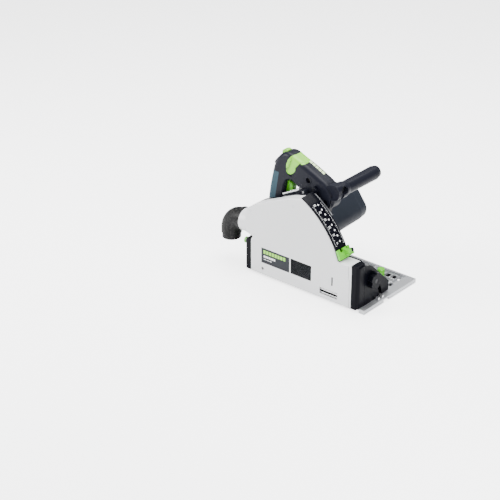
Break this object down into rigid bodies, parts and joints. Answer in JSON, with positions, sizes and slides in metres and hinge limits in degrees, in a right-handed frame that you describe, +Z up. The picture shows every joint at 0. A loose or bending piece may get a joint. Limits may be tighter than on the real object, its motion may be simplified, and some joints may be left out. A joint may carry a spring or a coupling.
{
  "type": "track plunge saw",
  "caption": "Hand-held plunge-cut circular saw on a flat base that rides a guide rail, with side cover, motor, two handles, dust elbow and bevel clamps.",
  "frame": {"origin": "centre of the base plate on its sole", "axes": "+X cutting direction, +Y from the blade towards the motor, +Z up from the sole"},
  "size_m": [0.3443, 0.19, 0.241],
  "materials": {
    "cover_white": "satin moulded",
    "cast_white": "powder coat",
    "base_metal": "die cast, blasted",
    "machined_metal": "machined",
    "housing_dark": "fine spark-eroded grain",
    "guard_dark": "powder coat",
    "soft_grip": "soft touch",
    "strip_grey": "low-friction strip",
    "control_green": "moulded",
    "accent_lime": "moulded",
    "window_clear": "clear",
    "elbow_black": "textured",
    "steel": "ground",
    "blade_steel": "ground, carbide tips",
    "black_steel": "blackened",
    "lamination": "laminated",
    "copper": "enamelled copper"
  },
  "bodies": {
    "base": {"base_plate": "base_metal", "glide_strips": "strip_grey", "front_bevel_lug": "guard_dark", "rear_bevel_lug": "guard_dark", "clamp_bolts": "steel", "cut_indicator": "machined_metal"},
    "housing": {"guard_casting": "guard_dark", "side_cover": "cover_white", "cover_screws": "steel", "label_plate": "housing_dark", "view_window": "window_clear", "splinter_guide": "machined_metal", "front_block": "cast_white", "depth_scale": "guard_dark", "edge_strip": "machined_metal", "front_sector": "guard_dark", "rear_sector": "guard_dark", "plunge_pin": "steel", "return_spring": "steel"},
    "plunge_unit": {"gearcase": "guard_dark", "bearing_plate": "guard_dark", "motor_housing": "housing_dark", "motor_end_cap": "housing_dark", "stator_core": "lamination", "field_coils": "copper", "brush_gear": "copper", "ball_bearings": "steel", "handle_shell_near": "housing_dark", "handle_shell_far": "housing_dark", "grip_pad": "soft_grip", "handle_inlay": "accent_lime", "mains_inlet": "housing_dark", "switch_module": "housing_dark", "electronics_module": "accent_lime", "front_handle": "housing_dark", "handle_screws": "steel", "lever_pin": "steel"},
    "rotor": {"rotor_shaft": "steel", "rotor_core": "lamination", "rotor_windings": "copper", "commutator": "copper", "cooling_fan": "housing_dark"},
    "spindle_unit": {"spindle": "steel", "spindle_gear": "steel", "outer_flange": "steel", "blade_bolt": "black_steel", "saw_blade": "blade_steel"},
    "lever": {"changeover_lever": "housing_dark", "lever_plate": "machined_metal"},
    "knife": {"riving_knife": "steel"},
    "switch_trigger": {"trigger": "control_green"},
    "lock_off": {"lock_off_button": "accent_lime"},
    "stop": {"depth_stop": "control_green"},
    "elbow": {"dust_elbow": "elbow_black"},
    "front_knob": {"front_clamp_knob": "housing_dark"},
    "rear_knob": {"rear_clamp_knob": "housing_dark"},
    "front_adjuster": {"front_rail_adjuster": "control_green"},
    "rear_adjuster": {"rear_rail_adjuster": "control_green"},
    "dial": {"speed_dial": "control_green"},
    "undercut": {"undercut_button": "control_green"}
  },
  "joints": [
    {"name": "bevel_tilt", "type": "hinge", "parent": "base", "child": "housing", "pos_m": [0, -0.074, 0], "axis": [1, 0, 0], "range_deg": [-1, 47]},
    {"name": "plunge", "type": "hinge", "parent": "housing", "child": "plunge_unit", "pos_m": [-0.0955, -0.051, 0.023], "axis": [0, 1, 0], "range_deg": [0, 36.58], "stiffness_Nm_per_rad": 3.2, "springref_deg": -97.4},
    {"name": "rotor_spin", "type": "hinge", "parent": "plunge_unit", "child": "rotor", "pos_m": [-0.03225, 0.026, 0.10355], "axis": [0, 1, 0], "continuous": true},
    {"name": "blade_spin", "type": "hinge", "parent": "plunge_unit", "child": "spindle_unit", "pos_m": [-0.01801, -0.0688, 0.083], "axis": [0, 1, 0], "continuous": true},
    {"name": "changeover_lever_flip", "type": "hinge", "parent": "plunge_unit", "child": "lever", "pos_m": [-0.0305, -0.0453, 0.1785], "axis": [0, 1, 0], "range_deg": [0, 48]},
    {"name": "riving_knife_retract", "type": "hinge", "parent": "plunge_unit", "child": "knife", "pos_m": [-0.01801, -0.06, 0.083], "axis": [0, 1, 0], "range_deg": [0, 20], "stiffness_Nm_per_rad": 0.5, "springref_deg": -51.57},
    {"name": "trigger_pull", "type": "hinge", "parent": "plunge_unit", "child": "switch_trigger", "pos_m": [-0.0835, -0.024, 0.183], "axis": [0, 1, 0], "range_deg": [0, 7], "stiffness_Nm_per_rad": 0.4, "springref_deg": -17.19},
    {"name": "lock_off_press", "type": "slide", "parent": "plunge_unit", "child": "lock_off", "axis": [0, 0, -1], "range_m": [0, 0.0025], "stiffness_N_per_m": 250, "springref_m": -0.002},
    {"name": "depth_stop_slide", "type": "hinge", "parent": "housing", "child": "stop", "pos_m": [-0.0955, -0.066, 0.023], "axis": [0, -1, 0], "range_deg": [0, 34]},
    {"name": "dust_elbow_swivel", "type": "hinge", "parent": "housing", "child": "elbow", "pos_m": [-0.1555, -0.0622, 0.0924], "axis": [1, 0, 0], "range_deg": [-90, 100]},
    {"name": "front_knob_turn", "type": "hinge", "parent": "base", "child": "front_knob", "pos_m": [0.1275, -0.042, 0.052], "axis": [1, 0, 0], "range_deg": [0, 180]},
    {"name": "rear_knob_turn", "type": "hinge", "parent": "base", "child": "rear_knob", "pos_m": [-0.1435, -0.042, 0.052], "axis": [-1, 0, 0], "range_deg": [0, 180]},
    {"name": "front_adjuster_turn", "type": "hinge", "parent": "base", "child": "front_adjuster", "pos_m": [0.0745, 0.054, 0.01], "axis": [0, 0, 1], "range_deg": [-90, 90]},
    {"name": "rear_adjuster_turn", "type": "hinge", "parent": "base", "child": "rear_adjuster", "pos_m": [-0.1035, 0.054, 0.01], "axis": [0, 0, 1], "range_deg": [-90, 90]},
    {"name": "speed_dial_turn", "type": "hinge", "parent": "plunge_unit", "child": "dial", "pos_m": [-0.0384, 0.104, 0.12047], "axis": [0, 1, 0], "range_deg": [0, 270]},
    {"name": "undercut_press", "type": "slide", "parent": "housing", "child": "undercut", "axis": [1, 0, 0], "range_m": [0, 0.0028], "stiffness_N_per_m": 300, "springref_m": -0.002}
  ],
  "couplings": [
    {"joint": "blade_spin", "follows": "rotor_spin", "ratio": -0.28205}
  ]
}
